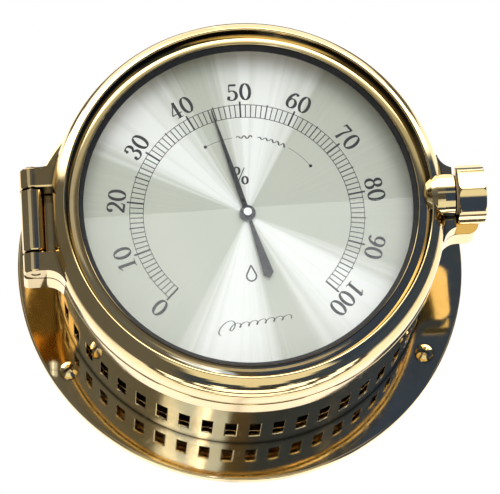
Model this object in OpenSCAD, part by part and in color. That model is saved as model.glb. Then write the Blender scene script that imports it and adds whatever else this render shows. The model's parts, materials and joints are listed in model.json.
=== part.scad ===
// Brass porthole-style dial hygrometer for wall mounting.
// The dial faces -Y, twelve o'clock is +Z, and the origin is the centre of
// the mounting flange's back face, which lies on the wall plane Y = 0.
// Parts are drawn "facing": local x is to the right, local y is up and
// local z is the depth in front of the wall.

/* [Mounting flange] */
// Diameter of the flange
flange_d = 120; // [118:1:126]
// Thickness of the flange
flange_t = 3; // [2.5:0.25:4]
// Diameter of the circle through the three wall screws
screw_circle_d = 110; // [109:0.5:112]
// Diameter of a wall screw's shank
wall_screw_d = 3; // [3:0.5:4.5]
// Length of a wall screw behind the flange
wall_screw_reach = 14; // [8:1:25]

/* [Case] */
// Outer diameter of the vented wall
wall_d = 100; // [98:0.5:101]
// Thickness of the vented wall
wall_t = 1.7; // [1.2:0.1:2]
// Number of vent slots around the wall
slot_count = 50; // [30:1:56]
// Width of one vent slot
slot_w = 2.9; // [1.5:0.1:3.4]
// Length of one vent slot, front to back
slot_l = 11.5; // [6:0.5:14]
// Depth of the slots' middle in front of the wall plane
slot_depth = 15.8; // [12:0.1:18]
// Distance from the wall plane to the case rim's front face
case_depth = 43.5; // [43:0.1:44]
// Outer diameter of the case rim and the door ring
rim_d = 102; // [102:0.5:104]
// Front-to-back thickness of the case rim
rim_t = 7.5; // [7:0.1:8]

/* [Door] */
// Gap between the case rim and the door ring
door_gap = 0.5; // [0.4:0.05:0.6]
// Front-to-back thickness of the door ring
door_t = 9.5; // [9.3:0.1:10]
// Diameter of the opening in the door's brass ring
opening_d = 87.2; // [86.4:0.2:87.2]
// Width of the glass seal that shows inside the opening
seal_lip = 1.25; // [0.9:0.05:1.4]
// Height of the ring's outer crest above its inner bead
crest_rise = 1.8; // [1.2:0.1:2.2]
// Thickness of the glass
glass_t = 2; // [1.5:0.1:2.2]

/* [Hinge] */
// Distance of the hinge pin from the dial's axis
hinge_reach = 55.2; // [55:0.1:56]
// Radius of the hinge barrels
knuckle_r = 3.1; // [2.6:0.1:3.1]
// Height of the hinge ears
hinge_h = 28; // [25:0.5:30]
// Height of the case's middle knuckle
knuckle_h = 16.6; // [12:0.1:17]
// Radius of the hinge pin
pin_r = 1.2; // [1:0.05:1.4]

/* [Latch] */
// Diameter of the latch knob over its ridges
knob_d = 15.2; // [13:0.1:15.2]
// Length of the latch knob
knob_l = 7; // [6:0.5:9]
// Number of flutes around the knob
knob_flutes = 8; // [6:1:12]
// Half the height of the latch ears
latch_half = 8; // [7.4:0.1:9]
// Radius of the latch screw
latch_screw_r = 2; // [1.5:0.1:2]

/* [Dial and pointer] */
// Diameter of the dial plate
dial_d = 92.4; // [90:0.2:92.6]
// Thickness of the dial plate
dial_t = 0.8; // [0.6:0.1:1]
// Relative humidity that the pointer shows at rest, in percent
reading = 44.5; // [5:0.5:95]
// Length of the pointer from its axis to its tip
hand_l = 29.8; // [24:0.2:30.4]
// Length of the pointer's tail from its axis
tail_l = 18.2; // [14:0.2:20]

/* [Movement] */
// Gear module of the sector and the pinion
gear_module = 0.4; // [0.35:0.01:0.4]
// Teeth of the pinion
pinion_teeth = 10; // [10:1:10]
// Teeth that the sector would have as a full wheel
sector_teeth = 100; // [100:10:100]
// Length of the hair lever from the sector's axis
lever_l = 6; // [5.5:0.1:7]

/* [Hidden] */

// Facets of a true circle; the exact rebuild ignores the number
$fn = 96;
// A cut runs this far past a face
over = 1;

brass = "goldenrod";
steel = "silver";
dark = "dimgray";

// Depths in front of the wall plane, from back to front
rim_back = case_depth - rim_t;
door_back = case_depth + door_gap;
door_front = door_back + door_t;
ledge_back = rim_back + 2;
ledge_front = ledge_back + 2.2;
dial_front = ledge_front + 3;
seat_front = door_front - 1.5;
glass_front = seat_front - 0.5;
glass_back = glass_front - glass_t;
bridge_back = 20;
plate_back = 33;
plate_t = 1.5;

// Radii of the turned parts
rim_r = rim_d / 2;
wall_r = wall_d / 2;
wall_in_r = wall_r - wall_t;
opening_r = opening_d / 2;
bore_r = 46.6;
ledge_r = 43;
support_screw_circle_r = 44.6;
seat_r = 46.8;
flange_opening_r = 40;
cover_r = 43.4;
cover_t = 1.4;
cover_screw_circle_r = 41.8;

// Clearances
running = 0.05;
seating = 0.02;

// Hinge and latch places
pin_depth = door_back + knuckle_r + 0.1;
latch_depth = door_back + knob_d / 2 + 0.1;
boss_r = 5.4;
boss_end = 53.1;
washer_t = 0.5;
knob_start = boss_end + washer_t;
catch_in = 47.3;
catch_out = 49;
catch_half = 2.5;
catch_top = latch_depth + 0.2;
pocket_half = 3.1;
// Small step where a flat side meets a barrel
shoulder = 0.15;
ear_end = 59.8;
ear_fillet = 5;

// The hinge sits a little below the dial's level axis
hinge_middle = -0.6;
hinge_high = hinge_middle + hinge_h / 2;
hinge_low = hinge_middle - hinge_h / 2;
knuckle_high = hinge_middle + knuckle_h / 2;
knuckle_low = hinge_middle - knuckle_h / 2;
knuckle_gap = 0.4;
chamfer = 0.35;

// Movement geometry
full_sweep = 270;
percent_angle = full_sweep / 100;
hand_angle = (reading - 50) * percent_angle;
pinion_pr = gear_module * pinion_teeth / 2;
sector_pr = gear_module * sector_teeth / 2;
sector_y = -(pinion_pr + sector_pr);
sector_depth = 29;
hair_depth = 26.5;
pillar_circle_r = 33;
bridge_circle_r = 27;
anchor_depth = 28.2;
hook_r = 0.4;
anchor_pin_y = 35.9;
calibration_y = 32;

// Spiral of the hairspring
spiral_start = 152;
spiral_turns = 3.25;
spiral_inner_r = 1.75;
spiral_pitch = 1;
spiral_back = 23;
spiral_h = 0.8;

// Turns a drawing so that its z axis points out of the wall
module facing() {
    rotate([90, 0, 0]) children();
}

// A cylinder along the depth axis from one depth to another
module disc(r, from, to) {
    translate([0, 0, from]) cylinder(r = r, h = to - from);
}

// A washer-like ring along the depth axis
module ring(outer, inner, from, to) {
    difference() {
        disc(outer, from, to);
        disc(inner, from - over, to + over);
    }
}

// A slotted screw along the depth axis, head towards the back
module rear_screw(shank_r, head_r, head_back, head_t, tip) {
    difference() {
        union() {
            disc(head_r, head_back, head_back + head_t);
            disc(shank_r, head_back, tip);
        }
        translate([-head_r - over, -head_r * 0.15, head_back - over])
            cube([2 * (head_r + over), head_r * 0.3, over + head_t * 0.45]);
    }
}

// Places copies on a circle, the first one at the given angle
module around(count, r, first) {
    for (i = [0 : count - 1])
        rotate([0, 0, first + i * 360 / count]) translate([r, 0, 0]) children();
}

// Points of an arc, used to round turned profiles
function arc(cx, cy, r, from, to, steps = 10) = [
    for (i = [0 : steps]) let (a = from + (to - from) * i / steps)
        [cx + r * cos(a), cy + r * sin(a)]
];

// Fills the corner between an ear's top edge and the ring with a concave arc
module ear_web(half, side) {
    reach = rim_r + ear_fillet;
    cy = half + ear_fillet;
    cx = sqrt(reach * reach - cy * cy);
    difference() {
        polygon([
            [side * cx, half - over], [side * cx, half],
            [side * cx, cy], [side * cx * rim_r / reach, cy * rim_r / reach],
            [side * cx * 0.8, half - over]
        ]);
        translate([side * cx, cy]) circle(r = ear_fillet);
    }
}

// An ear that runs from the ring to a given reach, with webs at both edges
module ear_outline(low, high, reach, side, corner) {
    mirror([side > 0 ? 0 : 1, 0]) {
        translate([bore_r, low])
            square([reach - corner - bore_r, high - low]);
        if (corner > 0) {
            translate([bore_r, low + corner])
                square([reach - bore_r, high - low - 2 * corner]);
            for (y = [low + corner, high - corner])
                translate([reach - corner, y]) circle(r = corner);
        }
    }
    intersection() {
        union() {
            ear_web(high, side);
            mirror([0, 1]) ear_web(-low, side);
        }
        square([2 * reach, 4 * (high - low)], center = true);
    }
}

// The same ear as a solid between two depths, hollow inside the ring
module ear(low, high, reach, side, corner, from, to) {
    difference() {
        translate([0, 0, from]) linear_extrude(height = to - from)
            ear_outline(low, high, reach, side, corner);
        disc(bore_r + 1, from - over, to + over);
    }
}

// A cylinder along the hinge pin's axis
module barrel(r, low, high) {
    translate([-hinge_reach, high, pin_depth])
        rotate([90, 0, 0]) cylinder(r = r, h = high - low);
}

// A hinge knuckle with chamfered ends
module knuckle(low, high) {
    h = high - low;
    translate([-hinge_reach, high, pin_depth]) rotate([90, 0, 0])
        rotate_extrude() polygon([
            [0, 0], [knuckle_r - chamfer, 0], [knuckle_r, chamfer],
            [knuckle_r, h - chamfer], [knuckle_r - chamfer, h], [0, h]
        ]);
}

// A cylinder along the latch screw's axis
module latch_rod(r, from, to) {
    translate([from, 0, latch_depth])
        rotate([0, 90, 0]) cylinder(r = r, h = to - from);
}

// Outline of a spur gear with flat-sided teeth and generous backlash
module gear_outline(teeth, first, last) {
    pr = gear_module * teeth / 2;
    tip_r = pr + gear_module * 0.8;
    root_r = pr - gear_module * 1.1;
    pitch = 360 / teeth;
    union() {
        circle(r = root_r);
        for (i = [first : last]) rotate(i * pitch) polygon([
            [root_r * 0.8, -pitch * 0.26 * PI / 180 * pr],
            [root_r, -pitch * 0.26 * PI / 180 * pr],
            [tip_r, -pitch * 0.10 * PI / 180 * pr],
            [tip_r, pitch * 0.10 * PI / 180 * pr],
            [root_r, pitch * 0.26 * PI / 180 * pr],
            [root_r * 0.8, pitch * 0.26 * PI / 180 * pr]
        ]);
    }
}

/* ---- case ---- */

module mounting_flange() {
    r = flange_d / 2;
    edge = 0.6;
    color(brass) facing() difference() {
        rotate_extrude() polygon(concat(
            [[flange_opening_r, 0], [r - edge / 2, 0], [r, edge / 2]],
            arc(r - edge, flange_t - edge, edge, 0, 90, 6),
            [[flange_opening_r, flange_t]]
        ));
        disc(cover_r + 0.1, -over, cover_t);
        around(3, screw_circle_d / 2, 90)
            disc(wall_screw_d / 2 + running, -over, flange_t + over);
        around(3, cover_screw_circle_r, 30)
            disc(1 + seating, 0, flange_t + over);
    }
}

module flange_screws() {
    r = wall_screw_d / 2;
    head_r = r + 0.9;
    dome = 1.7;
    neck_relief = 0.05;
    color(brass) facing() around(3, screw_circle_d / 2, 90) {
        difference() {
            translate([0, 0, flange_t]) rotate_extrude() polygon([
                [0, 0], [head_r, 0], [head_r, 0.5],
                [head_r * 0.86, 0.5 + dome * 0.5],
                [head_r * 0.5, 0.5 + dome * 0.86],
                [0, 0.5 + dome]
            ]);
            translate([-head_r - over, -0.4, flange_t + dome * 0.75])
                cube([2 * (head_r + over), 0.8, dome]);
        }
        disc(r, -wall_screw_reach + r, 0);
        disc(r - neck_relief, -over, flange_t + over / 2);
        translate([0, 0, -wall_screw_reach])
            cylinder(r1 = 0.3, r2 = r, h = r);
    }
}

module vented_wall() {
    color(brass) facing() difference() {
        ring(wall_r, wall_in_r, flange_t, ledge_back);
        for (i = [0 : slot_count - 1]) rotate([0, 0, (i + 0.5) * 360 / slot_count])
            translate([wall_in_r - over, -slot_w / 2, slot_depth - slot_l / 2])
                cube([wall_t + 2 * over, slot_w, slot_l]);
    }
}

module case_rim() {
    edge = 0.7;
    color(brass) facing() difference() {
        union() {
            rotate_extrude() polygon(concat(
                [[wall_r + seating, rim_back]],
                arc(rim_r - edge, rim_back + edge, edge, -90, 0, 6),
                arc(rim_r - edge, case_depth - edge, edge, 0, 90, 6),
                [
                    [bore_r, case_depth], [bore_r, ledge_front],
                    [ledge_r, ledge_front], [ledge_r, ledge_back],
                    [wall_r + seating, ledge_back]
                ]
            ));
            difference() {
                union() {
                    ear(hinge_low, hinge_high, hinge_reach + knuckle_r, -1, 1,
                        rim_back, case_depth);
                    ear(-latch_half, latch_half, ear_end, 1, 3,
                        rim_back, case_depth);
                }
                disc(wall_r + seating, rim_back - over, ledge_back);
            }
            knuckle(knuckle_low, knuckle_high);
            translate([-hinge_reach - knuckle_r + shoulder,
                       knuckle_low + chamfer, case_depth - 1])
                cube([2 * (knuckle_r - shoulder), knuckle_h - 2 * chamfer,
                      pin_depth - case_depth + 1]);
        }
        barrel(pin_r + seating, knuckle_low - over, knuckle_high + over);
        around(3, support_screw_circle_r, 30)
            disc(0.8 + seating, ledge_back - over, ledge_front + over);
    }
}

module door_gasket() {
    color(dark) facing() difference() {
        ring(rim_r - 1.4, rim_r - 3, case_depth, door_back - 0.08);
        translate([catch_in, -pocket_half, case_depth - over])
            cube([rim_r - catch_in, 2 * pocket_half, 3 * over]);
    }
}

module latch_catch() {
    color(brass) facing() translate([catch_in, -catch_half, case_depth])
        cube([catch_out - catch_in, 2 * catch_half, catch_top - case_depth]);
}

module hinge_pin() {
    color(brass) facing() union() {
        barrel(pin_r, hinge_low + 0.2, hinge_high + 0.3);
        barrel(pin_r + 0.5, hinge_high + running, hinge_high + 0.6);
    }
}

/* ---- door ---- */

// Turned section of the door ring: a low bead, a fine groove, and a crest whose
// outer side rounds back in one large arc
module door_section() {
    edge = 0.6;
    outer_r = 9;
    crest_r = 0.35;
    wall_x = 46.95;
    groove_in = 46.6;
    groove_depth = 0.9;
    bead_r = 7;
    bead_end = 68;
    lip = 0.25;
    bead_x = groove_in - 0.1 - bead_r * cos(bead_end);
    crest_x = wall_x + crest_r;
    crest_z = door_front + crest_rise - crest_r;
    outer_x = rim_r - outer_r;
    crest_angle = acos((crest_x - outer_x) / (outer_r - crest_r));
    outer_z = crest_z - (outer_r - crest_r) * sin(crest_angle);
    polygon(concat(
        [[seat_r, door_back]],
        arc(rim_r - edge, door_back + edge, edge, -90, 0, 6),
        arc(outer_x, outer_z, outer_r, 0, crest_angle, 16),
        arc(crest_x, crest_z, crest_r, crest_angle + 20, 180, 6),
        [[wall_x, door_front - groove_depth], [groove_in, door_front - groove_depth]],
        arc(bead_x, door_front - bead_r, bead_r, bead_end, 90, 8),
        arc(opening_r + lip, door_front - lip, lip, 90, 180, 6),
        [[opening_r, seat_front], [seat_r, seat_front]]
    ));
}

// Barrel that carries the latch screw, with a domed end on the bead
module latch_boss() {
    dome = [[44.8, 0], [44.8, 1.2], [45.6, 3.2], [46.8, 4.6], [48.2, boss_r - 0.1],
            [50.2, boss_r]];
    difference() {
        union() {
            translate([0, 0, latch_depth]) rotate([0, 90, 0]) rotate_extrude()
                polygon(concat(
                    [for (p = dome) [p[1], p[0]]],
                    [[boss_r, boss_end - 0.4], [boss_r - 0.4, boss_end],
                     [0, boss_end]]
                ));
            translate([bore_r + 1, shoulder - boss_r, door_back])
                cube([boss_end - bore_r - 1.4, 2 * (boss_r - shoulder),
                      latch_depth - door_back]);
        }
        disc(seat_r + 0.3, door_back - over, seat_front + 0.3);
    }
}

module door_ring() {
    notch_low = knuckle_low - knuckle_gap;
    notch_high = knuckle_high + knuckle_gap;
    notch_x = -49.9;
    lug_front = pin_depth + knuckle_r - shoulder;
    color(brass) facing() difference() {
        union() {
            rotate_extrude() door_section();
            ear(hinge_low, hinge_high, hinge_reach, -1, 0,
                pin_depth - knuckle_r + shoulder, lug_front);
            ear(-latch_half, latch_half, boss_end, 1, 1, door_back, lug_front);
            knuckle(notch_high, hinge_high);
            knuckle(hinge_low, notch_low);
            latch_boss();
        }
        translate([notch_x - 4 * knuckle_r, notch_low, door_back - over])
            cube([4 * knuckle_r, notch_high - notch_low, 2 * door_t]);
        for (y = [notch_low, notch_high])
            translate([notch_x - 4 * knuckle_r, y, lug_front - chamfer])
                rotate([45, 0, 0]) cube([4 * knuckle_r, 1.5 * chamfer, 1.5 * chamfer]);
        barrel(pin_r + running, hinge_low - over, hinge_high + over);
        latch_rod(latch_screw_r + running, catch_out, boss_end + over);
        translate([bore_r, -pocket_half, door_back - over])
            cube([catch_out + 0.7 - bore_r, 2 * pocket_half,
                  catch_top + 0.4 - door_back + over]);
    }
}

// Flat seal in front of the glass with a bevelled lip inside the opening
module glass_seal() {
    bevel_top = door_front - 0.5;
    bevel_foot = door_front - 1.4;
    lip_in = opening_r - seal_lip;
    lip_out = opening_r - seating;
    color("black") facing() rotate_extrude() polygon([
        [lip_in, glass_front], [seat_r - 0.1, glass_front], [seat_r - 0.1, seat_front],
        [lip_out, seat_front], [lip_out, bevel_top - 0.1], [lip_out - 0.15, bevel_top],
        [lip_in + 0.1, bevel_foot + 0.1], [lip_in, bevel_foot - 0.1]
    ]);
}

module door_glass() {
    color("lightcyan", 0.35) facing()
        disc(seat_r - 0.3, glass_back, glass_front);
}

module glass_retainer() {
    retainer_t = 2.6;
    color(brass) facing() difference() {
        ring(seat_r - 0.05, 45.2, glass_back - retainer_t, glass_back);
        around(2, 46, 90)
            disc(0.7, glass_back - retainer_t - over, glass_back - 1);
    }
}

module latch_washer() {
    color("tan") facing() difference() {
        latch_rod(5, boss_end + 0.02, knob_start - 0.02);
        latch_rod(latch_screw_r + running, boss_end - over, knob_start + over);
    }
}

module latch_screw() {
    tip_gap = 0.35;
    color(steel) facing()
        latch_rod(latch_screw_r, catch_out + tip_gap, knob_start + knob_l - 1.5);
}

// Fluted thumb knob with rounded ends; its ridges are set off the level
module latch_knob() {
    r = knob_d / 2;
    ridge_tilt = 9;
    flute_r = 16;
    flute_bite = 0.75;
    end = 0.8;
    color(brass) facing() translate([0, 0, latch_depth]) rotate([0, 90, 0])
        difference() {
            rotate_extrude() polygon(concat(
                [[latch_screw_r + seating, knob_start]],
                arc(r - end, knob_start + end, end, -90, 0, 6),
                arc(r - end, knob_start + knob_l - end, end, 0, 90, 6),
                [[0, knob_start + knob_l + 0.3],
                 [0, knob_start + knob_l - 1.5],
                 [latch_screw_r + seating, knob_start + knob_l - 1.5]]
            ));
            for (i = [0 : knob_flutes - 1])
                rotate([0, 0, 180 + ridge_tilt + (i + 0.5) * 360 / knob_flutes])
                    translate([r - flute_bite + flute_r, 0, knob_start - over])
                        cylinder(r = flute_r, h = knob_l + 2 * over);
        }
}

/* ---- dial ---- */

module dial_plate() {
    color(steel) facing()
        ring(dial_d / 2, 1.5, dial_front - dial_t, dial_front);
}

module dial_support() {
    color(dark) facing() difference() {
        ring(dial_d / 2, 29, ledge_front, dial_front - dial_t);
        around(3, support_screw_circle_r, 30)
            disc(0.8 + seating, ledge_front - over, ledge_front + 1.6);
        around(3, pillar_circle_r, 90)
            disc(1 + seating, ledge_front - over, ledge_front + 1.6);
    }
}

module support_screws() {
    color(steel) facing() around(3, support_screw_circle_r, 30)
        rear_screw(0.8, 1.3, ledge_back - 1.2, 1.2, ledge_front + 1.4);
}

/* ---- movement ---- */

module front_plate() {
    color(brass) facing() difference() {
        disc(36, plate_back, plate_back + plate_t);
        disc(1.8, plate_back - over, plate_back + plate_t + over);
        translate([0, sector_y, 0])
            disc(1.8, plate_back - over, plate_back + plate_t + over);
        around(3, pillar_circle_r, 90)
            disc(1 + seating, plate_back - over, plate_back + plate_t + over);
        around(3, bridge_circle_r, 150)
            disc(1 + seating, plate_back - over, plate_back + plate_t + over);
        around(2, 19, 22)
            disc(7, plate_back - over, plate_back + plate_t + over);
    }
}

// Three-armed bridge that carries the rear bushes
module rear_bridge() {
    color(brass) facing() difference() {
        translate([0, 0, bridge_back]) linear_extrude(height = plate_t) union() {
            circle(r = 9);
            for (i = [0 : 2]) rotate(150 + i * 120)
                translate([0, -4]) square([bridge_circle_r, 8]);
            for (i = [0 : 2]) rotate(150 + i * 120)
                translate([bridge_circle_r, 0]) circle(r = 4);
        }
        disc(1.8, bridge_back - over, bridge_back + plate_t + over);
        translate([0, sector_y, 0])
            disc(1.8, bridge_back - over, bridge_back + plate_t + over);
        around(3, bridge_circle_r, 150)
            disc(1 + seating, bridge_back - over, bridge_back + plate_t + over);
    }
}

module dial_pillars() {
    color(brass) facing() around(3, pillar_circle_r, 90) union() {
        disc(2.2, plate_back + plate_t, ledge_front);
        disc(1, plate_back - 0.6, plate_back + plate_t);
        disc(1, ledge_front, ledge_front + 1.4);
    }
}

module movement_pillars() {
    color(brass) facing() around(3, bridge_circle_r, 150) difference() {
        union() {
            disc(2.4, bridge_back + plate_t, plate_back);
            disc(1, plate_back, plate_back + plate_t + 0.5);
        }
        disc(1, bridge_back, bridge_back + plate_t + 4);
    }
}

module bridge_screws() {
    color(steel) facing() around(3, bridge_circle_r, 150)
        rear_screw(0.98, 2, bridge_back - 1.1, 1.1, bridge_back + plate_t + 3.5);
}

// A pivot bush pressed into a plate
module bush(back) {
    ring(1.78, 0.65, back - 0.3, back + plate_t + 0.3);
}

module front_bush() {
    color("gold") facing() bush(plate_back);
}

module rear_bush() {
    color("gold") facing() bush(bridge_back);
}

module sector_bushes() {
    color("gold") facing() translate([0, sector_y, 0]) {
        bush(plate_back);
        bush(bridge_back);
    }
}

module pointer_arbor() {
    color(steel) facing() disc(0.6, bridge_back - 0.2, dial_front + 2.1);
}

module pointer_pinion() {
    color(brass) facing() difference() {
        translate([0, 0, sector_depth - 0.6]) linear_extrude(height = 2.6)
            rotate(270) gear_outline(pinion_teeth, 0, pinion_teeth - 1);
        disc(0.6 + seating, sector_depth - 2, sector_depth + 4);
    }
}

module spring_collet() {
    color(brass) facing() ring(1.4, 0.6 + seating, 22.6, 24.2);
}

// Flat spiral from beside the collet out to the stud
module hairspring() {
    strip = 0.16;
    steps = 78;
    function spiral(side) = [
        for (i = [0 : steps]) let (
            turn = i * spiral_turns / steps,
            a = spiral_start + turn * 360,
            r = spiral_inner_r + spiral_pitch * turn + side * strip / 2
        ) [r * cos(a), r * sin(a)]
    ];
    outer = spiral(1);
    inner = spiral(-1);
    color("steelblue") facing() translate([0, 0, spiral_back])
        linear_extrude(height = spiral_h)
            polygon(concat(outer, [for (i = [steps : -1 : 0]) inner[i]]));
}

// Post just outside the spiral's outer end
module spring_stud() {
    stud_r = 0.55;
    a = spiral_start + spiral_turns * 360;
    r = spiral_inner_r + spiral_pitch * spiral_turns + stud_r + 0.11;
    color(brass) facing() rotate([0, 0, a]) translate([r, 0, 0])
        disc(stud_r, bridge_back + plate_t, spiral_back + spiral_h + 0.6);
}

module sector_arbor() {
    color(steel) facing() translate([0, sector_y, 0])
        disc(0.6, bridge_back - 0.2, plate_back + plate_t + 0.2);
}

// Toothed sector with a balance tail; one gap faces the pinion's tooth
module sector_gear() {
    teeth_each_side = 8;
    hub_r = 2.4;
    arm_w = 4;
    half_span = (teeth_each_side + 1) * 360 / sector_teeth;
    root_r = sector_pr - gear_module * 1.1;
    color(brass) facing() translate([0, sector_y, sector_depth]) difference() {
        linear_extrude(height = 1.2) union() {
            rotate(90 + 180 / sector_teeth) intersection() {
                difference() {
                    gear_outline(sector_teeth, -teeth_each_side,
                                 teeth_each_side);
                    circle(r = root_r - 2.2);
                }
                polygon([
                    [0, 0],
                    [sector_pr * 1.2 * cos(half_span), -sector_pr * 1.2 * sin(half_span)],
                    [sector_pr * 1.3, 0],
                    [sector_pr * 1.2 * cos(half_span), sector_pr * 1.2 * sin(half_span)]
                ]);
            }
            translate([-arm_w / 2, 0]) square([arm_w, root_r - 1]);
            circle(r = hub_r);
        }
        disc(0.6 + seating, -over, 3);
    }
}

// Short arm with a hook pin for the hair's lower ferrule
module hair_lever() {
    back = 24.6;
    arm_t = 0.8;
    color(brass) facing() translate([0, sector_y, 0]) difference() {
        union() {
            disc(1.6, back, sector_depth);
            translate([-lever_l, -1, back]) cube([lever_l, 2, arm_t]);
            translate([-lever_l, 0, 0]) {
                disc(1.3, back, back + arm_t);
                disc(hook_r, back, hair_depth + 1.2);
            }
        }
        disc(0.6 + seating, back - over, sector_depth + over);
    }
}

module hair_strand() {
    color("saddlebrown") facing()
        translate([-lever_l - 0.5, sector_y + 1.2, hair_depth])
            cube([1, anchor_pin_y - sector_y - 4, 0.3]);
}

// A crimped end of the hair with a slot of given half height for its pin
module ferrule(pin_y, low, high, slot_half) {
    difference() {
        translate([-lever_l - 1.2, low, hair_depth - 0.5])
            cube([2.4, high - low, 1.3]);
        translate([-lever_l - hook_r - 0.25, pin_y - slot_half, 0])
            cube([2 * hook_r + 0.5, 2 * slot_half, hair_depth + 2]);
        translate([-lever_l - 0.5, sector_y + 1.2, hair_depth])
            cube([1, anchor_pin_y - sector_y - 4, 0.3]);
    }
}

module hair_ferrules() {
    color(steel) facing() {
        ferrule(sector_y, sector_y - 1.2, sector_y + 3, hook_r + 0.08);
        ferrule(anchor_pin_y, anchor_pin_y - 5, anchor_pin_y + 3.2, 2.3);
    }
}

// Spring arm on the front plate that holds the hair's upper end on a pin
module hair_anchor() {
    left = -lever_l - 2.5;
    low = 29.5;
    foot_l = 10.3;
    arm_l = 10.5;
    arm_w = 5;
    arm_t = 0.8;
    color(brass) facing() union() {
        translate([left, low, anchor_depth]) cube([foot_l, arm_w, arm_t]);
        translate([left, low, anchor_depth]) cube([arm_w, arm_l, arm_t]);
        translate([left, low, anchor_depth])
            cube([foot_l, arm_t, plate_back - anchor_depth]);
        translate([-lever_l, anchor_pin_y, 0])
            disc(hook_r, hair_depth - 1.2, anchor_depth + arm_t);
    }
}

module calibration_screw() {
    color(steel) facing() translate([0, calibration_y, 0])
        rear_screw(1.4, 2.6, 7, 1.6, anchor_depth - 0.05);
}

module calibration_bush() {
    back = 15;
    color(brass) facing() translate([0, calibration_y, 0]) difference() {
        union() {
            disc(3, back, back + 4);
            translate([2, -3, back]) cube([2.5, 5.5, plate_back - back]);
        }
        disc(1.4 + running, back - over, back + 4 + over);
    }
}

module back_cover() {
    color(brass) facing() difference() {
        disc(cover_r, 0, cover_t - 0.02);
        around(3, cover_screw_circle_r, 30) {
            disc(1 + seating, -over, cover_t + over);
            disc(1.55, -over, 0.7);
        }
        around(12, 26, 15) disc(2.5, -over, cover_t + over);
        translate([0, calibration_y, 0]) disc(1.5, -over, cover_t + over);
    }
}

module cover_screws() {
    color(steel) facing() around(3, cover_screw_circle_r, 30)
        rear_screw(1, 1.5, 0.05, 0.65, flange_t - 0.2);
}

/* ---- pointer ---- */

// Tapered hand, eye and flared tail in one outline, at the rest reading
module pointer_hand() {
    eye_r = 2.1;
    hand_t = 0.5;
    front_side = concat(
        [[0.12, hand_l], [0.62, 12]],
        arc(0, 0, eye_r, 72, -80, 12),
        [[1.3, -tail_l + 1], [0.2, -tail_l]]
    );
    other_side = [
        for (i = [len(front_side) - 1 : -1 : 0])
            [-front_side[i][0], front_side[i][1]]
    ];
    color("black") facing() difference() {
        translate([0, 0, dial_front + 1]) linear_extrude(height = hand_t)
            rotate(-hand_angle) polygon(concat(front_side, other_side));
        disc(0.6 + seating, dial_front, dial_front + 3);
    }
}

module pointer_hub() {
    color("silver") facing() difference() {
        disc(1.05, dial_front + 1.5, dial_front + 2.6);
        disc(0.6 + seating, dial_front + 1.4, dial_front + 2.15);
    }
}

mounting_flange();
flange_screws();
vented_wall();
case_rim();
door_gasket();
latch_catch();
hinge_pin();
door_ring();
glass_seal();
door_glass();
glass_retainer();
latch_washer();
latch_screw();
latch_knob();
dial_plate();
dial_support();
support_screws();
front_plate();
rear_bridge();
dial_pillars();
movement_pillars();
bridge_screws();
front_bush();
rear_bush();
pointer_arbor();
pointer_pinion();
pointer_hand();
pointer_hub();
spring_collet();
hairspring();
spring_stud();
sector_arbor();
sector_gear();
sector_bushes();
hair_lever();
hair_strand();
hair_ferrules();
hair_anchor();
calibration_screw();
calibration_bush();
back_cover();
cover_screws();
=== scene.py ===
"""Looks of a brass porthole dial hygrometer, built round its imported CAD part.

The dial faces -Y, twelve o'clock is +Z, and the wall plane is Y = 0. Lengths are
metres; names that end in _MM are millimetres.
"""

import json
import math

import bpy
from mathutils import Matrix, Vector
from mathutils.geometry import delaunay_2d_cdt


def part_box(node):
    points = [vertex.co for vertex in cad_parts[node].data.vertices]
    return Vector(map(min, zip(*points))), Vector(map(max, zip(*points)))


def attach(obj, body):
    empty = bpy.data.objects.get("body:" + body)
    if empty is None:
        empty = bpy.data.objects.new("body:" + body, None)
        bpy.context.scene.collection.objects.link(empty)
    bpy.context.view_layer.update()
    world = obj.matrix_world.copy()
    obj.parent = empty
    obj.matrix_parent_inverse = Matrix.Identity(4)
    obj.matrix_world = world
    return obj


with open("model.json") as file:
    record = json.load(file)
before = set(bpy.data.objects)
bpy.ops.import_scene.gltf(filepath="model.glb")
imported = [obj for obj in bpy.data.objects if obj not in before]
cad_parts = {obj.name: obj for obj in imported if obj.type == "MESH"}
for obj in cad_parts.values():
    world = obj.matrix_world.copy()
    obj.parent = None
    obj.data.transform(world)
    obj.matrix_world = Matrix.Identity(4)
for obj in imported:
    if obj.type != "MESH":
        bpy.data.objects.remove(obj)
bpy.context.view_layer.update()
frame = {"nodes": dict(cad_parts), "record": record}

MM = 0.001
DIAL_FACE_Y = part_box("dial_plate")[0].y

# Scale layout on the dial, radii in millimetres and angles in degrees
FULL_SWEEP = 270.0
TOP_READING = 50.0
TICK_IN_MM = 26.9
TICK_OUT_MM = 30.4
TICK_FIVE_MM = 30.8
TICK_TEN_MM = 31.3
NUMERAL_RADIUS_MM = 34.0
NUMERAL_HEIGHT_MM = 4.75
INK_THICKNESS_MM = 0.03

# Line widths of the scale in millimetres
TICK_WIDTH_MM = 0.25
TICK_FIVE_WIDTH_MM = 0.30
TICK_TEN_WIDTH_MM = 0.46
SCALE_ARC_WIDTH_MM = 0.17

# Middle band, as readings: a dot at each end, two fine arcs and two words of pen waves
COMFORT_RADIUS_MM = 21.4
COMFORT_ENDS = (40.0, 70.0)
COMFORT_ARCS = ((40.0, 47.5), (62.5, 70.0))
COMFORT_WORDS = ((48.5, 52.5), (54.0, 61.5))
COMFORT_ARC_WIDTH_MM = 0.10
COMFORT_DOT_MM = 0.45
WAVE_READINGS = 1.6
WAVE_HEIGHT_MM = 0.5

# Widths of the pen strokes in millimetres: across the dial, and up and down
PEN_THIN_MM = 0.12
WAVE_THICK_MM = 0.42
FLOURISH_THICK_MM = 0.32

# Bright fans on the brushed dial, a painted sheen in its base colour, in degrees: directions
# clockwise from the top, and half widths where a fan is full and where it has faded out
FAN_LEANS = (10.0, 134.0)
FAN_FULL = 5.0
FAN_FADED = 22.0
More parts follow.
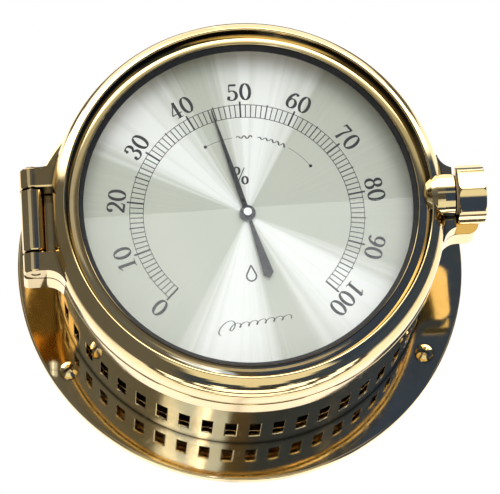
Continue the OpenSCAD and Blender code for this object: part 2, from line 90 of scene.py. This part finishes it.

# Inner lip of the door ring, which mirrors the dark floor along its lower half; that reflection
# is painted there as dark colour
LIP_INNER_MM = 43.4
LIP_OUTER_MM = 44.0

# Camera: the viewing angle looks up at the dial from slightly left
CAMERA_AZIMUTH = -3.92
CAMERA_ELEVATION = -18.5
CAMERA_ROLL = -3.94
CAMERA_DISTANCE = 0.9
CAMERA_TARGET = Vector((0.00174, -0.020, -0.00085))
CAMERA_LENS = 244.5


# --------------------------------------------------------------- node helpers

# Colour sockets of a Mix node, which has a set of sockets for each type of data
MIX_FIRST = 6
MIX_SECOND = 7
MIX_RESULT = 2


class Nodes:
    """Short-hand for making and joining the nodes of one tree."""

    def __init__(self, tree):
        self.tree = tree
        self.tree.nodes.clear()

    def node(self, kind, settings=None, **inputs):
        """Adds a node; settings are its attributes, inputs its sockets by name."""
        made = self.tree.nodes.new("ShaderNode" + kind)
        for key, value in (settings or {}).items():
            setattr(made, key, value)
        for key, value in inputs.items():
            self.feed(made, key.replace("_", " "), value)
        return made

    def feed(self, node, key, value):
        """Gives a node's socket a value, or joins it to another node's output."""
        socket = node.inputs[key]
        if isinstance(value, bpy.types.NodeSocket):
            self.link(value, socket)
        else:
            socket.default_value = value

    def link(self, source, target):
        self.tree.links.new(source, target)

    def math(self, operation, a, b=0.0):
        made = self.node("Math", {"operation": operation})
        self.feed(made, 0, a)
        self.feed(made, 1, b)
        return made.outputs[0]

    def blend(self, share, first, second):
        """Mixes two colours."""
        made = self.node("Mix", {"data_type": "RGBA"})
        self.feed(made, 0, share)
        for index, value in ((MIX_FIRST, first), (MIX_SECOND, second)):
            is_socket = isinstance(value, bpy.types.NodeSocket)
            self.feed(made, index, value if is_socket else (*value, 1.0))
        return made.outputs[MIX_RESULT]

    def blend_shaders(self, share, first, second):
        """Mixes two shaders."""
        made = self.node("MixShader", Fac=share)
        self.link(first, made.inputs[1])
        self.link(second, made.inputs[2])
        return made.outputs[0]


class Look(Nodes):
    """One procedural material built round a Principled shader."""

    def __init__(self, name):
        self.material = bpy.data.materials.new(name)
        self.material.use_nodes = True
        super().__init__(self.material.node_tree)
        self.output = self.node("OutputMaterial")
        self.shader = self.node("BsdfPrincipled")
        self.link(self.shader.outputs["BSDF"], self.output.inputs["Surface"])
        self.coordinates = self.node("TexCoord").outputs["Object"]

    def surface(self, **inputs):
        """Sets sockets of the Principled shader."""
        for key, value in inputs.items():
            self.feed(self.shader, key.replace("_", " "), value)

    def noise(self, per_mm, detail=2.0, stretch=(1, 1, 1), where=None, roughness=0.5):
        """Noise from 0 to 1 with the given number of features in a millimetre."""
        scaled = self.node(
            "Mapping",
            Vector=where or self.coordinates,
            Scale=[s / MM for s in stretch],
        )
        made = self.node(
            "TexNoise",
            Vector=scaled.outputs[0],
            Scale=per_mm,
            Detail=detail,
            Roughness=roughness,
        )
        return made.outputs["Fac"]

    def spread(self, value, low, high, start=0.3, end=0.7):
        """Maps a value from start..end to low..high."""
        made = self.node(
            "MapRange", Value=value, From_Min=start, From_Max=end, To_Min=low, To_Max=high
        )
        return made.outputs[0]

    def bump(self, height, depth_mm, strength, before=None):
        """Normals of a relief, on top of those of an earlier bump if one is given."""
        made = self.node("Bump", Height=height, Distance=depth_mm * MM, Strength=strength)
        if before is not None:
            self.link(before, made.inputs["Normal"])
        return made.outputs["Normal"]

    def polar(self):
        """Radius in metres and angle in radians round the dial's axis."""
        split = self.node("SeparateXYZ", Vector=self.coordinates)
        x, z = split.outputs[0], split.outputs[2]
        squares = self.math("ADD", self.math("MULTIPLY", x, x), self.math("MULTIPLY", z, z))
        return self.math("SQRT", squares), self.math("ARCTAN2", x, z)

    def hollows(self, reach_mm):
        """1 in the open and less in corners, where painted shade goes."""
        made = self.node("AmbientOcclusion", {"samples": 6}, Distance=reach_mm * MM)
        return made.outputs["AO"]


# ------------------------------------------------------------------ materials


def lower_lip(look):
    """1 on the lower half of the door ring's inner lip, and 0 elsewhere: the mask of a painted
    reflection of the dark floor.
    """
    radius, angle = look.polar()
    inside = look.spread(radius, 1, 0, (LIP_OUTER_MM - 0.05) * MM, (LIP_OUTER_MM + 0.10) * MM)
    outside = look.spread(radius, 0, 1, (LIP_INNER_MM - 0.05) * MM, (LIP_INNER_MM + 0.05) * MM)
    lower = look.spread(look.math("COSINE", angle), 1, 0, -0.7, 0.0)
    return look.math("MULTIPLY", look.math("MULTIPLY", inside, outside), lower)


def polished_brass():
    """Lacquered mirror brass: tarnish patches, smudges and hairlines, with painted shade in
    corners and a painted reflection on the lower inner lip.
    """
    look = Look("polished_brass")
    cloud = look.noise(0.045, 4)
    patch = look.noise(0.16, 5, roughness=0.6)
    gold = look.blend(look.spread(cloud, 0, 1), (0.86, 0.64, 0.30), (0.92, 0.73, 0.40))
    tarnish = look.spread(patch, 0, 0.35, 0.58, 0.78)
    worn = look.blend(tarnish, gold, (0.62, 0.40, 0.13))
    # Painted shade: the brass is darkened in corners, and a painted reflection of the dark floor
    # darkens the lower inner lip
    corner_shade = look.spread(look.hollows(1.4), 1.0, 0, 0.38, 0.86)
    dark = look.math("MAXIMUM", corner_shade, lower_lip(look))
    tinted = look.blend(dark, worn, (0.035, 0.024, 0.012))
    smudge = look.spread(look.noise(0.35, 6, roughness=0.65), 0, 0.07, 0.5, 0.75)
    hairline = look.spread(look.noise(1.6, 2, (0.25, 1, 9)), 0, 0.04, 0.6, 0.75)
    haze = look.math("ADD", look.math("ADD", smudge, hairline), 0.05)
    ripple = look.bump(look.noise(0.11, 1), 0.05, 0.35)
    grain = look.bump(look.noise(2.2, 2, (0.3, 1, 7)), 0.0012, 0.5, ripple)
    look.surface(Base_Color=tinted, Metallic=1.0, Roughness=haze, Normal=grain)
    look.surface(Coat_Weight=0.25, Coat_Roughness=0.04)
    return look.material


def satin_brass():
    """Brass of the works: turned rings and a few darker spots."""
    look = Look("satin_brass")
    radius, _ = look.polar()
    rings = look.node("CombineXYZ", X=radius)
    turned = look.noise(7.0, 3, where=rings.outputs[0])
    cloud = look.noise(0.2, 5)
    gold = look.blend(look.spread(cloud, 0, 1), (0.66, 0.47, 0.19), (0.80, 0.61, 0.30))
    spots = look.spread(look.noise(0.5, 6), 0, 0.5, 0.6, 0.8)
    tinted = look.blend(spots, gold, (0.36, 0.22, 0.09))
    rough = look.math("ADD", look.spread(turned, 0.22, 0.34), look.spread(cloud, 0, 0.08))
    look.surface(Base_Color=tinted, Metallic=1.0, Roughness=rough)
    look.surface(Normal=look.bump(turned, 0.008, 0.5))
    return look.material


def turned_steel():
    """Bright steel with a fine grain."""
    look = Look("turned_steel")
    grain = look.noise(3.0, 3, (0.3, 5, 0.3))
    cloud = look.noise(0.4, 4)
    tone = look.blend(look.spread(cloud, 0, 1), (0.50, 0.50, 0.52), (0.66, 0.66, 0.66))
    rough = look.math("ADD", look.spread(grain, 0.18, 0.30), look.spread(cloud, 0, 0.08))
    look.surface(Base_Color=tone, Metallic=1.0, Roughness=rough)
    look.surface(Normal=look.bump(grain, 0.004, 0.5))
    return look.material


def blued_steel():
    """Heat-blued spring steel."""
    look = Look("blued_steel")
    cloud = look.noise(0.6, 4)
    tone = look.blend(look.spread(cloud, 0, 1), (0.05, 0.08, 0.28), (0.10, 0.16, 0.42))
    look.surface(Base_Color=tone, Metallic=1.0, Roughness=look.spread(cloud, 0.2, 0.32))
    look.surface(Normal=look.bump(look.noise(4.0, 2), 0.003, 0.5))
    return look.material


def black_rubber():
    """Matt seals with a little dust."""
    look = Look("black_rubber")
    fine = look.noise(5.0, 3)
    dust = look.spread(look.noise(0.7, 5), 0, 0.5, 0.5, 0.8)
    tone = look.blend(dust, (0.012, 0.012, 0.013), (0.035, 0.034, 0.033))
    look.surface(Base_Color=tone, Roughness=look.spread(fine, 0.55, 0.75))
    look.surface(Normal=look.bump(fine, 0.02, 0.4))
    return look.material


def dark_metal():
    """Matt black paint, slightly worn."""
    look = Look("dark_metal")
    fine = look.noise(3.0, 4)
    wear = look.spread(look.noise(0.5, 5), 0, 0.6, 0.6, 0.8)
    tone = look.blend(wear, (0.03, 0.03, 0.034), (0.075, 0.073, 0.07))
    look.surface(Base_Color=tone, Roughness=look.spread(fine, 0.45, 0.62))
    look.surface(Normal=look.bump(fine, 0.012, 0.4))
    return look.material


def black_paint(name, tone, roughness):
    """Dark paint or ink with slight clouds."""
    look = Look(name)
    fine = look.noise(4.0, 3)
    cloud = look.noise(0.8, 4)
    shade = look.blend(look.spread(cloud, 0, 1), tone, [c * 1.8 + 0.002 for c in tone])
    look.surface(Base_Color=shade, Roughness=look.spread(fine, roughness, roughness + 0.12))
    look.surface(Normal=look.bump(fine, 0.003, 0.4))
    return look.material


def pressed_fibre():
    """Brown washer board."""
    look = Look("pressed_fibre")
    strands = look.noise(1.6, 5, (1, 4, 1))
    tone = look.blend(look.spread(strands, 0, 1), (0.30, 0.20, 0.11), (0.48, 0.35, 0.22))
    look.surface(Base_Color=tone, Roughness=look.spread(strands, 0.6, 0.8))
    look.surface(Normal=look.bump(strands, 0.03, 0.5))
    return look.material


def hair_bundle():
    """Strands that run up and down."""
    look = Look("hair_bundle")
    strands = look.noise(4.0, 3, (3, 3, 0.05))
    tone = look.blend(look.spread(strands, 0, 1), (0.16, 0.09, 0.04), (0.42, 0.28, 0.16))
    look.surface(Base_Color=tone, Roughness=look.spread(strands, 0.35, 0.55))
    look.surface(Normal=look.bump(strands, 0.03, 0.7))
    return look.material


def brushed_silver():
    """Sun-brushed dial: fine scratches run out from the hub, and bright fans are a painted sheen
    in the base colour.
    """
    look = Look("brushed_silver")
    radius, angle = look.polar()
    ray = look.node("CombineXYZ", X=look.math("SINE", angle), Y=look.math("COSINE", angle))
    streak = look.node("TexNoise", Vector=ray.outputs[0], Scale=150.0, Detail=4.0)
    broad = look.node("TexNoise", Vector=ray.outputs[0], Scale=14.0, Detail=3.0)
    cloud = look.noise(0.05, 3)
    lines = streak.outputs["Fac"]
    bands = broad.outputs["Fac"]
    silver = look.blend(look.spread(lines, 0, 1), (0.50, 0.525, 0.45), (0.60, 0.625, 0.55))
    aged = look.blend(look.spread(cloud, 0, 0.6), silver, (0.60, 0.61, 0.54))
    faded = math.cos(math.radians(FAN_FADED))
    full = math.cos(math.radians(FAN_FULL))
    painted_sheen = None
    # Painted sheen: bright fans painted into the base colour along the given directions
    for lean in FAN_LEANS:
        off_axis = look.math("SUBTRACT", angle, math.radians(lean))
        along = look.math("ABSOLUTE", look.math("COSINE", off_axis))
        ragged = look.math("ADD", along, look.spread(bands, -0.02, 0.02))
        glow = look.spread(ragged, 0, 1, faded, full)
        painted_sheen = glow if painted_sheen is None else look.math("MAXIMUM", painted_sheen, glow)
    lit = look.blend(painted_sheen, aged, (0.97, 0.98, 0.96))
    fade = look.spread(radius, 0.0, 1.0, 0.0, 0.02)
    look.surface(Base_Color=lit, Metallic=0.12, Roughness=look.spread(lines, 0.36, 0.48))
    look.surface(Normal=look.bump(look.math("MULTIPLY", lines, fade), 0.003, 0.12))
    return look.material


def clear_glass():
    """Flat glass that lets lamps through, with faint smudges."""
    look = Look("clear_glass")
    smudge = look.spread(look.noise(0.08, 6), 0.0, 0.012, 0.5, 0.8)
    tint = look.blend(look.noise(0.05, 2), (0.985, 0.995, 0.99), (1.0, 1.0, 1.0))
    look.surface(Base_Color=tint, Roughness=smudge, IOR=1.45, Transmission_Weight=1.0)
    look.surface(Normal=look.bump(look.noise(0.03, 1), 0.01, 0.2))
    clear = look.node("BsdfTransparent", Color=(0.97, 0.98, 0.975, 1.0))
    path = look.node("LightPath")
    lamp = look.math("MAXIMUM", path.outputs["Is Shadow Ray"], path.outputs["Is Diffuse Ray"])
    mixed = look.blend_shaders(lamp, look.shader.outputs[0], clear.outputs[0])
    look.link(mixed, look.output.inputs["Surface"])
    return look.material


def pale_floor():
    """Plain matt floor of the studio."""
    look = Look("pale_floor")
    cloud = look.noise(0.004, 3)
    tone = look.blend(cloud, (0.80, 0.80, 0.79), (0.84, 0.84, 0.83))
    look.surface(Base_Color=tone, Roughness=look.spread(cloud, 0.6, 0.7))
    look.surface(Normal=look.bump(look.noise(0.4, 3), 0.05, 0.2))
    return look.material


LOOKS = {
    "polished_brass": polished_brass(),
    "plain_brass": satin_brass(),
    "steel": turned_steel(),
    "seal": black_rubber(),
    "glass": clear_glass(),
    "fibre": pressed_fibre(),
    "dial_silver": brushed_silver(),
    "dark_metal": dark_metal(),
    "pointer_black": black_paint("pointer_black", (0.012, 0.012, 0.014), 0.22),
    "spring_steel": blued_steel(),
    "hair": hair_bundle(),
}
SLOT_OF = {part["node"]: part["material_slot"] for part in frame["record"]["subparts"]}


# --------------------------------------------------------------------- pieces


def dress(piece, material):
    """Gives a piece one material in place of any it had."""
    piece.data.materials.clear()
    piece.data.materials.append(material)


def new_piece(name, vertices, faces):
    """A piece with a mesh of its own, linked to the scene."""
    mesh = bpy.data.meshes.new(name)
    mesh.from_pydata(vertices, [], faces)
    mesh.update()
    piece = bpy.data.objects.new(name, mesh)
    bpy.context.scene.collection.objects.link(piece)
    return piece


for node_name, cad_piece in frame["nodes"].items():
    dress(cad_piece, LOOKS[SLOT_OF[node_name]])


def soften(piece, width_mm):
    """Gives sharp edges a small polished round that catches the light."""
    weld = piece.modifiers.new("weld", "WELD")
    weld.merge_threshold = 0.001 * MM
    edge = piece.modifiers.new("edge", "BEVEL")
    edge.width = width_mm * MM
    edge.segments = 3
    edge.limit_method = "ANGLE"
    edge.angle_limit = math.radians(50)
    even = piece.modifiers.new("even", "WEIGHTED_NORMAL")
    even.weight = 100
    even.keep_sharp = False


soften(frame["nodes"]["vented_wall"], width_mm=0.32)


# ------------------------------------------------------------- printed scale


def dial_angle(percent):
    """Clockwise angle from twelve o'clock of a reading, in radians."""
    return math.radians((percent - TOP_READING) * FULL_SWEEP / 100)


def on_dial(radius, angle):
    return (radius * math.sin(angle), radius * math.cos(angle))


def ribbon(points, widths):
    """Quads along a line with a width at each point."""
    sides = []
    last = len(points) - 1
    for i, (x, y) in enumerate(points):
        ax, ay = points[max(i - 1, 0)]
        bx, by = points[min(i + 1, last)]
        length = math.hypot(bx - ax, by - ay)
        nx, ny = (ay - by) / length, (bx - ax) / length
        half = widths[i] / 2
        sides.append(((x + nx * half, y + ny * half), (x - nx * half, y - ny * half)))
    return [[a[0], b[0], b[1], a[1]] for a, b in zip(sides, sides[1:])]


def pen(points, thin, thick):
    """Ribbon of a broad pen: thick where the line runs up and down."""
    contrast = 1.6
    last = len(points) - 1
    widths = []
    for i in range(last + 1):
        ax, ay = points[max(i - 1, 0)]
        bx, by = points[min(i + 1, last)]
        upright = abs(by - ay) / math.hypot(bx - ax, by - ay)
        widths.append(thin + (thick - thin) * upright**contrast)
    return ribbon(points, widths)


def oval(cx, cy, rx, ry, start, end, steps=28):
    """Points on an ellipse; angles in degrees, anticlockwise from the right."""
    points = []
    for i in range(steps + 1):
        angle = math.radians(start + (end - start) * i / steps)
        points.append((cx + rx * math.cos(angle), cy + ry * math.sin(angle)))
    return points


def spot(cx, cy, radius, steps=16):
    """A filled dot."""
    return [oval(cx, cy, radius, radius, 0, 360 - 360 / steps, steps - 1)]


def bar(x0, y0, x1, y1, width):
    return ribbon([(x0, y0), (x1, y1)], [width, width])


# Numerals are drawn in a box about 0.6 wide and 1 high; stroke widths in the same unit
THIN = 0.06
THICK = 0.15
SERIF = 0.05
GLYPH_STEP = 0.70
GLYPH_WIDEN = 1.14


def glyph_zero():
    return pen(oval(0.30, 0.5, 0.215, 0.465, 0, 360, 40), THIN, THICK)


def glyph_one():
    return (
        bar(0.30, 0.0, 0.30, 0.99, THICK)
        + bar(0.10, 0.80, 0.27, 0.95, THIN)
        + bar(0.11, SERIF / 2, 0.49, SERIF / 2, SERIF)
    )


def glyph_two():
    bowl = oval(0.28, 0.70, 0.20, 0.27, 165, -30)
    return (
        spot(0.125, 0.73, 0.085)
        + pen(bowl + [(0.32, 0.33), (0.12, 0.08)], THIN, THICK)
        + bar(0.07, 0.06, 0.50, 0.06, 0.12)
        + bar(0.485, 0.04, 0.515, 0.24, SERIF)
    )


def glyph_three():
    return (
        spot(0.135, 0.78, 0.08)
        + pen(oval(0.27, 0.75, 0.175, 0.215, 150, -80), THIN, THICK)
        + pen(oval(0.26, 0.27, 0.22, 0.245, 85, -150), THIN, THICK)
        + spot(0.115, 0.20, 0.08)
    )


def glyph_four():
    return (
        bar(0.37, 0.0, 0.37, 0.99, THICK)
        + bar(0.36, 0.95, 0.06, 0.30, THIN)
        + bar(0.04, 0.28, 0.55, 0.28, THIN)
        + bar(0.22, SERIF / 2, 0.52, SERIF / 2, SERIF)
    )


def glyph_five():
    return (
        bar(0.14, 0.91, 0.47, 0.91, 0.12)
        + bar(0.14, 0.95, 0.12, 0.52, THIN)
        + pen(oval(0.25, 0.30, 0.23, 0.28, 130, -150), THIN, THICK)
        + spot(0.11, 0.19, 0.08)
    )


def glyph_six():
    return (
        pen(oval(0.30, 0.30, 0.20, 0.27, 0, 360, 36), THIN, THICK)
        + pen(oval(0.50, 0.36, 0.40, 0.60, 105, 185), THIN, THICK)
        + spot(0.44, 0.87, 0.075)
    )


def glyph_seven():
    return (
        bar(0.07, 0.92, 0.50, 0.92, 0.13)
        + bar(0.09, 0.96, 0.08, 0.74, SERIF)
        + ribbon([(0.48, 0.90), (0.31, 0.50), (0.24, 0.0)], [THIN, 0.10, THICK])
    )


def glyph_eight():
    return pen(oval(0.29, 0.745, 0.165, 0.215, 0, 360, 32), THIN, THICK) + pen(
        oval(0.29, 0.275, 0.205, 0.25, 0, 360, 36), THIN, THICK
    )


def glyph_nine():
    return half_turned(glyph_six(), 0.59, 0.99)


def half_turned(polygons, width, height):
    """The same shapes turned half way round in their box."""
    return [[(width - x, height - y) for x, y in shape] for shape in polygons]


GLYPHS = [
    glyph_zero(),
    glyph_one(),
    glyph_two(),
    glyph_three(),
    glyph_four(),
    glyph_five(),
    glyph_six(),
    glyph_seven(),
    glyph_eight(),
    glyph_nine(),
]


def placed(polygons, centre, angle, scale):
    """Shapes scaled and turned clockwise by an angle about their origin, then moved."""
    c, s = math.cos(angle), math.sin(angle)
    return [
        [
            (centre[0] + scale * (x * c + y * s), centre[1] + scale * (y * c - x * s))
            for x, y in shape
        ]
        for shape in polygons
    ]


def numeral(number):
    """Shapes of a whole number, centred on its middle."""
    digits = str(number)
    shapes = []
    left = -GLYPH_STEP * len(digits) / 2
    for place, digit in enumerate(digits):
        start = left + place * GLYPH_STEP
        for shape in GLYPHS[int(digit)]:
            shapes.append([(x * GLYPH_WIDEN + start, y - 0.5) for x, y in shape])
    return shapes


def scale_ticks():
    """A ladder of 101 ticks between two arcs, longer at every five and ten."""
    shapes = []
    for percent in range(101):
        angle = dial_angle(percent)
        if percent % 10 == 0:
            end, width = TICK_TEN_MM, TICK_TEN_WIDTH_MM
        elif percent % 5 == 0:
            end, width = TICK_FIVE_MM, TICK_FIVE_WIDTH_MM
        else:
            end, width = TICK_OUT_MM, TICK_WIDTH_MM
        shapes += ribbon([on_dial(TICK_IN_MM, angle), on_dial(end, angle)], [width, width])
    for radius in (TICK_IN_MM, TICK_OUT_MM):
        shapes += dial_arc(radius, 0, 100, SCALE_ARC_WIDTH_MM, steps=240)
    return shapes


def dial_arc(radius, low, high, width, steps):
    """A line round the dial from one reading to another."""
    points = [
        on_dial(radius, dial_angle(low + (high - low) * i / steps)) for i in range(steps + 1)
    ]
    return ribbon(points, [width] * len(points))


def scale_numerals():
    shapes = []
    for percent in range(0, 101, 10):
        angle = dial_angle(percent)
        centre = on_dial(NUMERAL_RADIUS_MM, angle)
        shapes += placed(numeral(percent), centre, angle, NUMERAL_HEIGHT_MM)
    return shapes


def pen_waves(low, high, steps=60):
    """A wavy line from one reading to another, with waves that grow on the way."""
    line = []
    for i in range(steps + 1):
        share = i / steps
        wave = WAVE_HEIGHT_MM * math.sin(share * (high - low) * 2 * math.pi / WAVE_READINGS)
        angle = dial_angle(low + (high - low) * share)
        line.append(on_dial(COMFORT_RADIUS_MM + wave * (1 + share) / 2, angle))
    return line


def comfort_band():
    """Dots at both ends of the middle readings, with fine arcs and pen waves between."""
    shapes = []
    for low, high in COMFORT_ARCS:
        shapes += dial_arc(COMFORT_RADIUS_MM, low, high, COMFORT_ARC_WIDTH_MM, steps=20)
    for percent in COMFORT_ENDS:
        shapes += spot(*on_dial(COMFORT_RADIUS_MM, dial_angle(percent)), COMFORT_DOT_MM)
    for low, high in COMFORT_WORDS:
        shapes += pen(pen_waves(low, high), PEN_THIN_MM, WAVE_THICK_MM)
    return shapes


def percent_sign(cx, cy, size):
    shapes = ribbon([(-0.20, -0.42), (0.20, 0.42)], [0.05, 0.05])
    for x, y in ((-0.20, 0.27), (0.20, -0.27)):
        shapes += pen(oval(x, y, 0.14, 0.20, 0, 360, 24), 0.06, 0.12)
    return placed(shapes, (cx, cy), 0.0, size)


def droplet(cx, cy, size):
    """A water drop in outline."""
    points = [(0.0, 0.62)]
    points += oval(0, -0.08, 0.30, 0.32, 35, -215, 30)
    points += [(0.0, 0.62)]
    return placed(ribbon(points, [0.09] * len(points)), (cx, cy), 0.0, size)


def flourish(cx, cy, length, height):
    """A line of slanted pen loops that rises to the right; the first loops are taller."""
    points = []
    steps = 260
    loops = 8
    loop_width = 1.3
    slant = 0.45
    climb = 0.13
    for i in range(steps + 1):
        share = i / steps
        phase = share * loops * 2 * math.pi
        swell = 0.8 + 0.4 * math.cos(2 * math.pi * min(share * 2.2, 0.5))
        y = -height * swell * math.cos(phase)
        x = (share - 0.5) * length - loop_width * swell * math.sin(phase) + slant * y
        points.append((cx + x, cy + y + climb * x))
    return pen(points, PEN_THIN_MM, FLOURISH_THICK_MM)


def joined(polygons):
    """Corner points and triangles of all the shapes taken together."""
    corners, faces = [], []
    for shape in polygons:
        start = len(corners)
        sides = zip(shape, shape[1:] + shape[:1])
        area = sum(x0 * y1 - x1 * y0 for (x0, y0), (x1, y1) in sides)
        anticlockwise = shape if area > 0 else shape[::-1]
        corners += [Vector(p) for p in anticlockwise]
        faces.append(list(range(start, start + len(shape))))
    flat = delaunay_2d_cdt(corners, [], faces, 1, 1e-5)
    points, triangles, origins = flat[0], flat[2], flat[5]
    return points, [tri for tri, origin in zip(triangles, origins) if origin]


def ink_piece(name, polygons):
    """A thin solid with the joined outline of all the shapes, on the dial's face."""
    points, triangles = joined(polygons)
    edges = {}  # a dict keeps them in order
    for tri in triangles:
        for a, b in zip(tri, tri[1:] + tri[:1]):
            edges[(a, b)] = True
    rim = [(a, b) for a, b in edges if (b, a) not in edges]
    used = sorted({i for tri in triangles for i in tri})
    at = {old: new for new, old in enumerate(used)}
    count = len(used)
    lift = DIAL_FACE_Y - INK_THICKNESS_MM * MM
    vertices = [(points[i].x * MM, lift, points[i].y * MM) for i in used]
    vertices += [(points[i].x * MM, DIAL_FACE_Y, points[i].y * MM) for i in used]
    solid = [[at[i] for i in tri] for tri in triangles]
    solid += [[at[i] + count for i in reversed(tri)] for tri in triangles]
    solid += [[at[b], at[a], at[a] + count, at[b] + count] for a, b in rim]
    return new_piece(name, vertices, solid)


INK = black_paint("printing_ink", (0.014, 0.014, 0.015), 0.4)


def printed(name, polygons):
    """Prints shapes on the dial, which is fixed in the case."""
    piece = ink_piece(name, polygons)
    dress(piece, INK)
    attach(piece, "case")


printed("scale_ticks", scale_ticks())
printed("scale_numerals", scale_numerals())
printed("comfort_band", comfort_band())
printed("percent_sign", percent_sign(cx=-1.0, cy=10.8, size=5.0))
printed("droplet_mark", droplet(cx=0.0, cy=-16.4, size=4.2))
printed("scale_flourish", flourish(cx=0.8, cy=-29.2, length=17.5, height=1.5))


# ---------------------------------------------------------------------- stage


def studio_floor():
    """A wide floor well below the object, which the brass doesn't mirror."""
    reach = 14.0
    level = -0.6
    turns = ((-1, -1), (1, -1), (1, 1), (-1, 1))
    corners = [(x * reach, y * reach, level) for x, y in turns]
    floor = new_piece("studio_floor", corners, [(0, 1, 2, 3)])
    dress(floor, pale_floor())
    floor.visible_glossy = False


def fill_light(name, place, width, height, power):
    """A wide lamp that faces the dial and that polished metal doesn't mirror."""
    lamp = bpy.data.lights.new(name, "AREA")
    lamp.shape = "RECTANGLE"
    lamp.size = width
    lamp.size_y = height
    lamp.energy = power
    holder = bpy.data.objects.new(name, lamp)
    holder.location = place
    holder.rotation_euler = (-Vector(place)).to_track_quat("-Z", "Y").to_euler()
    holder.visible_glossy = False
    bpy.context.scene.collection.objects.link(holder)


class Sky(Nodes):
    """The studio as the brass mirrors it: soft-edged cards painted round the object.

    Azimuth 0 is straight in front of the dial and grows to the right; elevation is
    above the horizon. Both are in degrees.
    """

    def __init__(self, level):
        world = bpy.data.worlds.new("studio")
        bpy.context.scene.world = world
        world.use_nodes = True
        world.cycles.sampling_method = "NONE"
        super().__init__(world.node_tree)
        direction = self.node("TexCoord").outputs["Generated"]
        x, y, z = self.node("SeparateXYZ", Vector=direction).outputs
        front = self.math("MULTIPLY", y, -1.0)
        self.azimuth = self.math("MULTIPLY", self.math("ARCTAN2", x, front), 180 / math.pi)
        self.elevation = self.math("MULTIPLY", self.math("ARCSINE", z), 180 / math.pi)
        self.colour = level

    def rise(self, value, edge, soft):
        """0 below an edge and 1 above it."""
        low, high = edge - soft / 2, edge + soft / 2
        smooth = {"interpolation_type": "SMOOTHSTEP"}
        return self.node("MapRange", smooth, Value=value, From_Min=low, From_Max=high).outputs[0]

    def window(self, value, low, high, soft):
        """1 between two edges and 0 outside them."""
        below_high = self.math("SUBTRACT", 1.0, self.rise(value, high, soft))
        return self.math("MINIMUM", self.rise(value, low, soft), below_high)

    def card(self, azimuths, elevations, level, soft):
        """Paints a card over what is there; azimuths None goes all the way round."""
        mask = self.window(self.elevation, *elevations, soft)
        if azimuths is not None:
            mask = self.math("MULTIPLY", mask, self.window(self.azimuth, *azimuths, soft))
        self.colour = self.blend(mask, self.colour, level)

    def finish(self, backdrop, soft):
        """Cards for mirrors, an even soft light for matt surfaces, a plain backdrop."""
        path = self.node("LightPath")
        shown = self.node("Background", Color=self.colour).outputs[0]
        for ray, level in (("Is Diffuse Ray", soft), ("Is Camera Ray", backdrop)):
            plain = self.node("Background", Color=(*level, 1.0))
            shown = self.blend_shaders(path.outputs[ray], shown, plain.outputs[0])
        self.node("OutputWorld", Surface=shown)


# Bands of light and dark behind the object, as elevation from, elevation to, level
BACK_BANDS = (
    (-83, -74, 0.05),
    (-74, -61, 2.2),
    (-61, -53, 0.08),
    (-53, -44, 2.2),
    (-44, -38, 0.08),
    (36, 48, 0.12),
)


def studio_world():
    """Bright above and below, dim ahead, dark and cool to the right."""
    sky = Sky((0.09, 0.085, 0.08))
    # Floor: cool and dark all round, with a wide lit patch in front
    sky.card(None, (-96, -38), (0.05, 0.07, 0.12), 4)
    sky.card((-62, 62), (-96, -40), (0.92, 0.92, 0.80), 8)
    # Ahead: a dim patch, and a pale band above it
    sky.card((-14, 3), (-1, 21), (0.125, 0.125, 0.125), 4)
    sky.card((-60, 60), (22, 31), (0.50, 0.50, 0.42), 4)
    # Left: a grey wall, then a dark one
    sky.card((-44, -14), (-25, 42), (0.46, 0.47, 0.50), 8)
    sky.card((-128, -50), (-60, 32), (0.13, 0.13, 0.13), 10)
    # Right: dark and cool, with one narrow grey strip
    sky.card((62, 112), (-60, 32), (0.05, 0.075, 0.15), 10)
    sky.card((3, 78), (-50, 20), (0.04, 0.065, 0.15), 4)
    sky.card((44, 49), (-30, 44), (0.35, 0.35, 0.36), 3)
    # Ceiling: bright and nearly white
    sky.card(None, (31, 97), (3.2, 3.15, 3.0), 5)
    # Low, ahead and to the left: a dark card and small lit ones for the vented wall
    sky.card((-46, -11), (-27, 11), (0.13, 0.15, 0.19), 3)
    sky.card((-12, -2), (-13, -6), (1.3, 1.6, 2.4), 2)
    sky.card((-9, 14), (-6, 4), (0.50, 0.48, 0.44), 3)
    sky.card((-12, -1.5), (-27, -12), (0.65, 0.9, 1.6), 2)
    sky.card((-6.5, -5), (-30, -10), (3.0, 3.2, 4.5), 1.5)
    # Behind: a bright wall crossed by the bands
    for azimuths in ((112, 181), (-181, -128)):
        sky.card(azimuths, (-38, 97), (1.3, 1.25, 1.2), 8)
        for low, high, level in BACK_BANDS:
            sky.card(azimuths, (low, high), (level, level, level), 2)
    sky.finish(backdrop=(1.0, 1.0, 1.0), soft=(0.52, 0.53, 0.52))


def camera_axes():
    """The camera's right, up and backward directions."""
    azimuth = math.radians(CAMERA_AZIMUTH)
    elevation = math.radians(CAMERA_ELEVATION)
    roll = math.radians(CAMERA_ROLL)
    flat = math.cos(elevation)
    back = Vector((math.sin(azimuth) * flat, -math.cos(azimuth) * flat, math.sin(elevation)))
    level = Vector((math.cos(azimuth), math.sin(azimuth), 0.0))
    upright = back.cross(level)
    right = level * math.cos(roll) + upright * math.sin(roll)
    up = upright * math.cos(roll) - level * math.sin(roll)
    return right, up, back


def add_camera():
    """The photo's view: a long lens aimed at the target."""
    right, up, back = camera_axes()
    data = bpy.data.cameras.new("camera")
    data.lens = CAMERA_LENS
    data.sensor_width = 36.0
    data.clip_start = 0.01
    data.clip_end = 100.0
    camera = bpy.data.objects.new("camera", data)
    bpy.context.scene.collection.objects.link(camera)
    place = Matrix.Translation(CAMERA_TARGET + back * CAMERA_DISTANCE)
    camera.matrix_world = place @ Matrix((right, up, back)).transposed().to_4x4()
    bpy.context.scene.camera = camera


studio_floor()
studio_world()
fill_light("front_fill", place=(0.1, -1.8, 0.1), width=1.4, height=1.0, power=13)
add_camera()
bpy.context.scene.view_settings.view_transform = "Standard"
